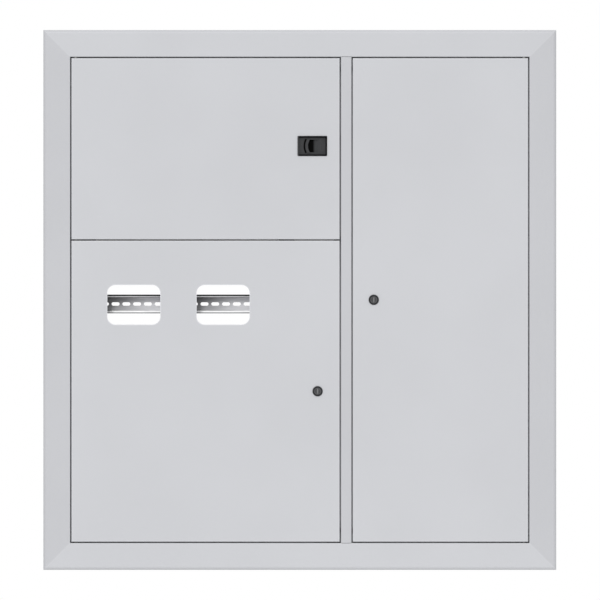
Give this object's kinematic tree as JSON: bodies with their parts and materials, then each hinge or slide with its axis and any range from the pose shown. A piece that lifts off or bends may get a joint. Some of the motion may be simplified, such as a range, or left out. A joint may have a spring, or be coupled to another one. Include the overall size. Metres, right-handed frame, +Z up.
{
  "type": "floor distribution board",
  "caption": "Flush wall enclosure for a stairwell electrical niche: mitred steel frame with hinged doors, meter windows, mounting rails and an open-backed casing.",
  "frame": {"origin": "centre of the four wall fixing holes, on the plane of the casing's rear flanges", "axes": "+X to the right seen from the front, +Z up, -Y towards the person in front of the doors"},
  "size_m": [0.95, 0.1424, 1],
  "materials": {
    "door_paint": "sheet steel with a light grey powder coat, fine satin texture",
    "frame_paint": "sheet steel with a light grey powder coat, fine satin texture",
    "stile_paint": null,
    "casing_paint": "sheet steel with a light grey powder coat, fine satin texture",
    "zinc": "bright zinc plate, rolled along its length",
    "fastener_zinc": "bright zinc plate",
    "brass": "machined brass",
    "insulator": "moulded polyamide, blue",
    "latch_black": "moulded black polyamide, fine spark texture",
    "lock_black": "black die-cast lock",
    "lock_core": "dark grey core, worn on the bit",
    "rubber": "black rubber buffer"
  },
  "bodies": {
    "carcass": {"bar_terminal_screws": "fastener_zinc", "breaker_rail_lower": "zinc", "breaker_rail_upper": "zinc", "breaker_upright_left": "zinc", "breaker_upright_right": "zinc", "casing_bottom_wall": "casing_paint", "casing_earth_nut": "fastener_zinc", "casing_left_wall": "casing_paint", "casing_right_wall": "casing_paint", "casing_top_wall": "casing_paint", "compartment_partition": "casing_paint", "compartment_shelf": "casing_paint", "crossbar": "casing_paint", "door_buffers": "rubber", "door_hinge_pins": "fastener_zinc", "earth_bar": "brass", "earth_bar_blocks": "zinc", "frame_bottom_rail": "frame_paint", "frame_left_stile": "stile_paint", "frame_right_stile": "stile_paint", "frame_top_rail": "frame_paint", "low_current_strap_lower": "zinc", "low_current_strap_upper": "zinc", "meter_rail_left": "zinc", "meter_rail_right": "zinc", "meter_upright_centre": "zinc", "meter_upright_left": "zinc", "meter_upright_right": "zinc", "middle_hinge_pin": "fastener_zinc", "middle_hinge_tab": "lock_black", "mullion": "stile_paint", "neutral_bar": "brass", "neutral_bar_insulators": "insulator", "rail_nuts": "fastener_zinc", "rail_screws": "fastener_zinc", "upright_screws": "fastener_zinc"},
    "upper_door": {"upper_left_door": "door_paint", "latch_bezel": "latch_black", "latch_housing": "latch_black", "latch_housing_nuts": "fastener_zinc", "upper_left_door_earth_nut": "fastener_zinc"},
    "latch": {"latch_slider": "latch_black", "latch_bolt": "fastener_zinc", "latch_bolt_screw": "fastener_zinc"},
    "lower_door": {"lower_left_door": "door_paint", "lower_lock_body": "lock_black", "lower_lock_nut": "fastener_zinc", "lower_left_door_earth_nut": "fastener_zinc"},
    "lower_lock": {"lower_lock_core": "lock_core", "lower_lock_cam": "fastener_zinc", "lower_lock_cam_screw": "fastener_zinc"},
    "right_side_door": {"right_door": "door_paint", "right_lock_body": "lock_black", "right_lock_nut": "fastener_zinc", "right_door_earth_nut": "fastener_zinc"},
    "right_lock": {"right_lock_core": "lock_core", "right_lock_cam": "fastener_zinc", "right_lock_cam_screw": "fastener_zinc"}
  },
  "joints": [
    {"name": "upper_door_swing", "type": "hinge", "parent": "carcass", "child": "upper_door", "pos_m": [-0.415, -0.135, 0.28], "axis": [0, 0, -1], "range_deg": [0, 120]},
    {"name": "lower_door_swing", "type": "hinge", "parent": "carcass", "child": "lower_door", "pos_m": [-0.415, -0.135, -0.17], "axis": [0, 0, -1], "range_deg": [0, 120]},
    {"name": "right_door_swing", "type": "hinge", "parent": "carcass", "child": "right_side_door", "pos_m": [0.415, -0.135, 0], "axis": [0, 0, 1], "range_deg": [0, 120]},
    {"name": "latch_slide", "type": "slide", "parent": "upper_door", "child": "latch", "axis": [1, 0, 0], "range_m": [0, 0.008]},
    {"name": "lower_lock_turn", "type": "hinge", "parent": "lower_door", "child": "lower_lock", "pos_m": [0.033, -0.14, -0.169], "axis": [0, -1, 0], "range_deg": [0, 90]},
    {"name": "right_lock_turn", "type": "hinge", "parent": "right_side_door", "child": "right_lock", "pos_m": [0.137, -0.14, 0.0003], "axis": [0, 1, 0], "range_deg": [0, 90]}
  ]
}
